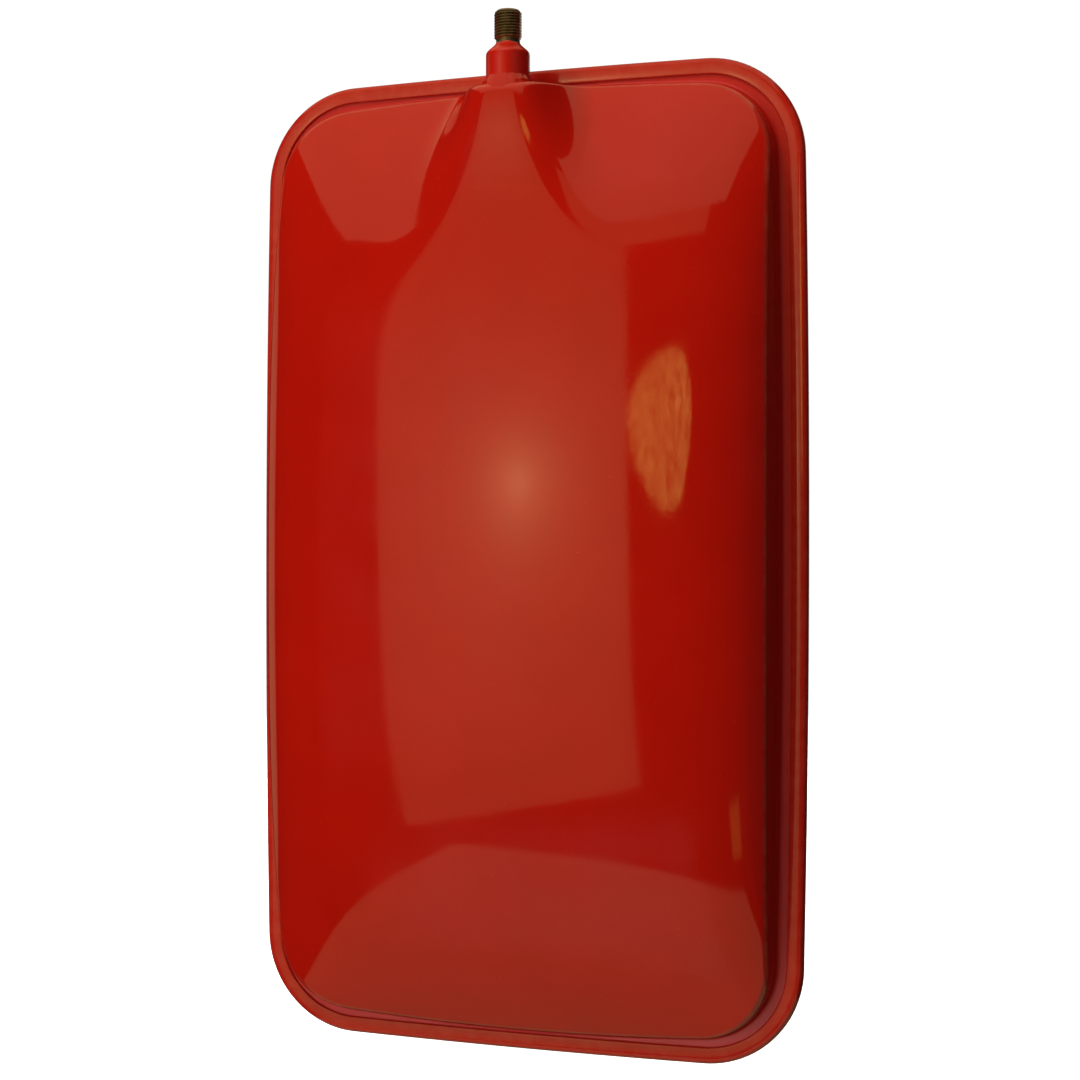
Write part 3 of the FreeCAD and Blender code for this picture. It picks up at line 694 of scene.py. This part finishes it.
def spigot():
    piece = lathe("connection_spigot", fitting_rows(), FITTING_RED, thread_radius)
    piece.data.materials.append(STEEL)
    wave, waves = BARE_EDGE_WAVE
    for face in piece.data.polygons:
        x, y, z = np.array(face.center) / MM - CENTRE
        radius = math.hypot(x, y + SPIGOT_FORWARD)
        ragged = wave * math.sin(waves * math.atan2(x, y + SPIGOT_FORWARD))
        above_paint = z - SPIGOT_FOOT > NECK - BARE_BELOW_NECK + ragged
        in_bore = radius < PORT_RADIUS + 0.2
        face.material_index = int(above_paint or in_bore)
    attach(piece, "vessel")
    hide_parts("connection_fitting")


def spigot_weld(shell):
    """The weld bead under the collar, laid on the shell, with its ripples."""
    surface = BVHTree.FromObject(shell, bpy.context.evaluated_depsgraph_get())
    down = Vector((0, 0, -1))

    def shell_top(x, y):
        above = Vector(to_frame((x, y, HALF_HEIGHT + 20)))
        hit = surface.ray_cast(above, down)[0]
        return hit.z / MM - CENTRE[2] if hit else SPIGOT_FOOT

    bead = []
    for angle in np.arange(TURN_STEPS * 2) * math.pi / TURN_STEPS:
        ripple = sum(size * math.sin(count * angle + phase) for size, count, phase in WELD_RIPPLES)
        toe = COLLAR_RADIUS + WELD_LEG - 0.3 + ripple
        foot = shell_top(toe * math.cos(angle), toe * math.sin(angle) - SPIGOT_FORWARD)
        crest = SPIGOT_FOOT + WELD_CLIMB + ripple
        root = foot - WELD_SINK
        corners = [(TAIL_RADIUS + 0.5, root), (toe, root), (toe, foot)]
        for share in np.linspace(0.12, 0.88, WELD_STEPS):
            bulge = math.sin(math.pi * share) * WELD_BULGE
            radius = toe + (COLLAR_RADIUS - toe) * share + bulge
            corners.append((radius, foot + (crest - foot) * share**WELD_HOLLOW + bulge))
        corners += [(COLLAR_RADIUS + 0.02, crest), (COLLAR_RADIUS - 0.4, crest)]
        corners.append((TAIL_RADIUS + 0.5, crest - 1.5))
        for radius, height in corners:
            x = radius * math.cos(angle)
            bead.append((x, radius * math.sin(angle) - SPIGOT_FORWARD, height))
    around = TURN_STEPS * 2
    across = len(bead) // around
    index = np.arange(around * across).reshape(around, across)
    shifted = np.roll(index, -1, axis=0)
    turned = np.roll(index, -1, axis=1)
    both = np.roll(shifted, -1, axis=1)
    faces = np.stack([index, shifted, both, turned], axis=-1).reshape(-1, 4)
    piece = mesh_object("spigot_weld_bead", bead, faces, RED)
    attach(piece, "vessel")
    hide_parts("fitting_weld")


def valve_spring():
    """The pin's return spring, coiled at the length of the CAD spring."""
    low, high = (np.array(corner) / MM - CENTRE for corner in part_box("core_spring"))
    foot, head = low[1] + SPRING_WIRE, high[1] - SPRING_WIRE
    coil = (high[0] - low[0]) / 2 - SPRING_WIRE
    axis = (low + high) / 2
    turns = np.linspace(0, 2 * math.pi * SPRING_TURNS, SPRING_STEPS * SPRING_TURNS + 1)
    count = SPRING_SIDES
    points = []
    for turn, depth in zip(turns, np.linspace(foot, head, len(turns))):
        for way in np.arange(count) * 2 * math.pi / count:
            radius = coil + SPRING_WIRE * math.cos(way)
            x = axis[0] + radius * math.cos(turn)
            z = axis[2] + radius * math.sin(turn)
            points.append((x, depth + SPRING_WIRE * math.sin(way), z))
    faces = [strip_faces(count * k, count * (k + 1), count) for k in range(len(turns) - 1)]
    faces = [list(face) for face in np.concatenate(faces)]
    last = len(points) - count
    faces += [list(range(count))[::-1], list(range(last, len(points)))]
    piece = mesh_object("valve_core_spring", np.array(points), faces, VALVE_STEEL)
    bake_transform(piece)
    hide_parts("core_spring")


def dress_cad_nodes():
    """Better materials for the CAD nodes that stay."""
    finishes = {
        "valve_weld": REAR_RED,
        "valve_stem": BRASS,
        "core_barrel": BRASS,
        "core_plug": BRASS,
        "barrel_packing": PACKING,
        "seat_washer": PACKING,
        "core_pin": VALVE_STEEL,
        "pin_cup": BRASS,
        "valve_cap": PLASTIC,
        "cap_seal": PACKING,
    }
    for name, finish in finishes.items():
        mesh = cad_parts[name].data
        mesh.materials.clear()
        mesh.materials.append(finish)
        mesh.shade_smooth()
        mesh.set_sharp_from_angle(angle=CAD_SHARP_EDGE)


# --- light, floor and camera -----------------------------------------------------------

CAMERA_TURN = math.radians(20.5)
CAMERA_RISE = math.radians(0.2)
CAMERA_ROLL = math.radians(0.1)
CAMERA_DISTANCE = 983.0
CAMERA_LENS = 68.1
CAMERA_SHIFT = (0.0142, 0.0191)
SENSOR_WIDTH = 36.0
SOFTBOX_DEPTH = -1500
SOFTBOX_MIDDLE = (-491, SOFTBOX_DEPTH, 138)
SOFTBOX_BASE = 0.45
SOFTBOX_PEAKS = ((1.0, 0.28), (2.6, 0.062))
AMBER_DEPTH = -1900
AMBER_MIDDLE = (60, 330)
AMBER_RADII = (295, 235)
FLOOR_GAP = 0.6
FLOOR_REACH = 3500
BACKDROP_RADIUS = 4500


def glowing(name, colour, strength):
    made = bpy.data.materials.new(name)
    made.use_nodes = True
    made.node_tree.nodes.clear()
    glow = made.node_tree.nodes.new("ShaderNodeEmission")
    glow.inputs["Color"].default_value = (*colour, 1.0)
    glow.inputs["Strength"].default_value = strength
    output = made.node_tree.nodes.new("ShaderNodeOutputMaterial")
    made.node_tree.links.new(glow.outputs[0], output.inputs["Surface"])
    return made


def card(name, corners, finish):
    """A flat card that shows only in reflections."""
    mesh = bpy.data.meshes.new(name)
    mesh.from_pydata(to_frame(corners).tolist(), [], [list(range(len(corners)))])
    mesh.materials.append(finish)
    made = bpy.data.objects.new(name, mesh)
    bpy.context.scene.collection.objects.link(made)
    made.visible_camera = False
    made.visible_diffuse = False
    made.visible_shadow = False
    made.visible_transmission = False


def lamp(name, place, size, power):
    """A soft lamp aimed at the vessel's centre, which doesn't show in its gloss."""
    light = bpy.data.lights.new(name, "AREA")
    light.shape = "RECTANGLE"
    light.size, light.size_y = (side * MM for side in size)
    light.energy = power
    made = bpy.data.objects.new(name, light)
    bpy.context.scene.collection.objects.link(made)
    made.location = to_frame(place)
    aim = Vector(to_frame((0, 0, 0))) - made.location
    made.rotation_euler = aim.to_track_quat("-Z", "Y").to_euler()
    made.visible_glossy = False


def softbox_glow():
    """A softbox with a bright middle that falls off outward, as peaks of a height and a
    reach in metres over an even base."""
    made = glowing("softbox_glow", (1.0, 0.78, 0.36), 1.0)
    tree = made.node_tree
    place = tree.nodes.new("ShaderNodeNewGeometry").outputs["Position"]
    away = tree.nodes.new("ShaderNodeVectorMath")
    away.operation = "DISTANCE"
    away.inputs[1].default_value = to_frame(SOFTBOX_MIDDLE)
    tree.links.new(place, away.inputs[0])

    def work_out(operation, *values):
        node = tree.nodes.new("ShaderNodeMath")
        node.operation = operation
        for socket, value in zip(node.inputs, values):
            if isinstance(value, bpy.types.NodeSocket):
                tree.links.new(value, socket)
            else:
                socket.default_value = value
        return node.outputs[0]

    total = SOFTBOX_BASE
    for height, reach in SOFTBOX_PEAKS:
        fall = work_out("EXPONENT", work_out("DIVIDE", away.outputs["Value"], -reach))
        total = work_out("ADD", work_out("MULTIPLY", fall, height), total)
    tree.links.new(total, tree.nodes["Emission"].inputs["Strength"])
    return made


def amber_glow():
    """A warm textured panel, seen only as a reflection."""
    made = glowing("amber_glow", (1.0, 0.62, 0.13), 1.6)
    tree = made.node_tree
    flecks = tree.nodes.new("ShaderNodeTexNoise")
    flecks.inputs["Scale"].default_value = 44.0
    flecks.inputs["Detail"].default_value = 6.0
    flecks.inputs["Roughness"].default_value = 0.7
    place = tree.nodes.new("ShaderNodeNewGeometry").outputs["Position"]
    tree.links.new(place, flecks.inputs["Vector"])
    level = tree.nodes.new("ShaderNodeMapRange")
    limits = (("From Min", 0.4), ("From Max", 0.62), ("To Min", 0.3), ("To Max", 5.0))
    for key, number in limits:
        level.inputs[key].default_value = number
    tree.links.new(flecks.outputs["Fac"], level.inputs["Value"])
    tree.links.new(level.outputs["Result"], tree.nodes["Emission"].inputs["Strength"])
    return made


def cards():
    """The room as it shows in the gloss."""
    soft = [(-1023, 1400), (300, 1400), (300, 960), (-216, 980), (-131, -522), (-900, -800)]
    card("softbox_card", [(x, SOFTBOX_DEPTH, z) for x, z in soft], softbox_glow())
    roof = [(-1200, -1350, 1100), (540, -1450, 1100), (570, 700, 1100), (-1200, 700, 1100)]
    card("ceiling_card", roof, glowing("ceiling_glow", (1.0, 0.7, 0.4), 0.8))
    under = [(-580, -1150, -700), (900, -1000, -700), (900, 500, -700), (-580, 500, -700)]
    card("ground_card", under, glowing("ground_glow", (1.0, 0.8, 0.42), 0.5))
    disc = []
    for turn in np.linspace(0, 2 * math.pi, 33)[:-1]:
        x, z = AMBER_MIDDLE + np.array([math.cos(turn), math.sin(turn)]) * AMBER_RADII
        disc.append((x, AMBER_DEPTH, z))
    card("amber_card", disc, amber_glow())
    low = [(665, -900, -404), (895, -900, -404), (895, -900, -544), (665, -900, -544)]
    card("amber_strip", low, glowing("amber_strip_glow", (1.0, 0.5, 0.1), 0.9))
    left = [(-1500, 100, 700), (-1500, 500, 700), (-1500, 500, -600), (-1500, 100, -600)]
    card("left_card", left, glowing("left_glow", (1.0, 0.7, 0.4), 0.6))
    behind = [(-700, 1500, 800), (500, 1500, 800), (500, 1500, -500), (-700, 1500, -500)]
    card("rear_card", behind, glowing("rear_glow", (1.0, 0.92, 0.85), 1.2))


def lamps():
    lamp("key_lamp", (-1150, -1900, 100), (1100, 1500), 25)
    lamp("top_lamp", (-200, -900, 1500), (1200, 900), 20)
    lamp("low_lamp", (-300, -1400, -1100), (1200, 900), 22)
    lamp("side_lamp", (1400, -900, 0), (900, 1500), 2.6)
    lamp("rear_lamp", (-700, 1500, 700), (1200, 1200), 40)
    world = bpy.data.worlds.new("room")
    bpy.context.scene.world = world
    world.use_nodes = True
    world.node_tree.nodes["Background"].inputs["Color"].default_value = (0.012, 0.012, 0.012, 1)


def floor():
    """A plain pale floor just under the vessel and a plain backdrop round everything."""
    level = -HALF_HEIGHT - FLOOR_GAP
    signs = ((-1, -1), (1, -1), (1, 1), (-1, 1))
    corners = [(x * FLOOR_REACH, y * FLOOR_REACH, level) for x, y in signs]
    mesh = bpy.data.meshes.new("floor")
    mesh.from_pydata(to_frame(corners).tolist(), [], [(0, 1, 2, 3)])
    made = Finish("floor_pale")
    made.colour(made.blend(made.noise(400.0), (0.86, 0.86, 0.86), (0.88, 0.88, 0.88)))
    made.roughness(made.spread(made.noise(60.0), 0.6, 0.7))
    made.shader.inputs["Emission Color"].default_value = (1, 1, 1, 1)
    made.shader.inputs["Emission Strength"].default_value = 1.0
    mesh.materials.append(made.material)
    ground = bpy.data.objects.new("floor", mesh)
    bpy.context.scene.collection.objects.link(ground)
    ground.visible_glossy = False
    ground.visible_diffuse = False
    bpy.ops.mesh.primitive_uv_sphere_add(
        segments=48, ring_count=24, radius=BACKDROP_RADIUS * MM
    )
    dome = bpy.context.object
    dome.name = "backdrop"
    dome.data.materials.append(glowing("backdrop_white", (1, 1, 1), 1.05))
    dome.visible_diffuse = False
    dome.visible_glossy = False
    dome.visible_transmission = False
    dome.visible_shadow = False


def camera():
    data = bpy.data.cameras.new("camera")
    data.lens = CAMERA_LENS
    data.sensor_width = SENSOR_WIDTH
    data.shift_x, data.shift_y = CAMERA_SHIFT
    data.clip_start, data.clip_end = 0.01, 50.0
    made = bpy.data.objects.new("camera", data)
    bpy.context.scene.collection.objects.link(made)
    back = Vector(
        (
            math.sin(CAMERA_TURN) * math.cos(CAMERA_RISE),
            -math.cos(CAMERA_TURN) * math.cos(CAMERA_RISE),
            math.sin(CAMERA_RISE),
        )
    )
    made.location = Vector(to_frame((0, 0, 0))) + back * CAMERA_DISTANCE * MM
    made.rotation_mode = "QUATERNION"
    roll = Quaternion((0, 0, 1), CAMERA_ROLL)
    made.rotation_quaternion = (-back).to_track_quat("-Z", "Y") @ roll
    bpy.context.scene.camera = made


front = front_shell()
rear_shell()
diaphragm()
spigot()
spigot_weld(front)
valve_spring()
dress_cad_nodes()
cards()
lamps()
floor()
camera()
bpy.context.scene.view_settings.view_transform = "Standard"
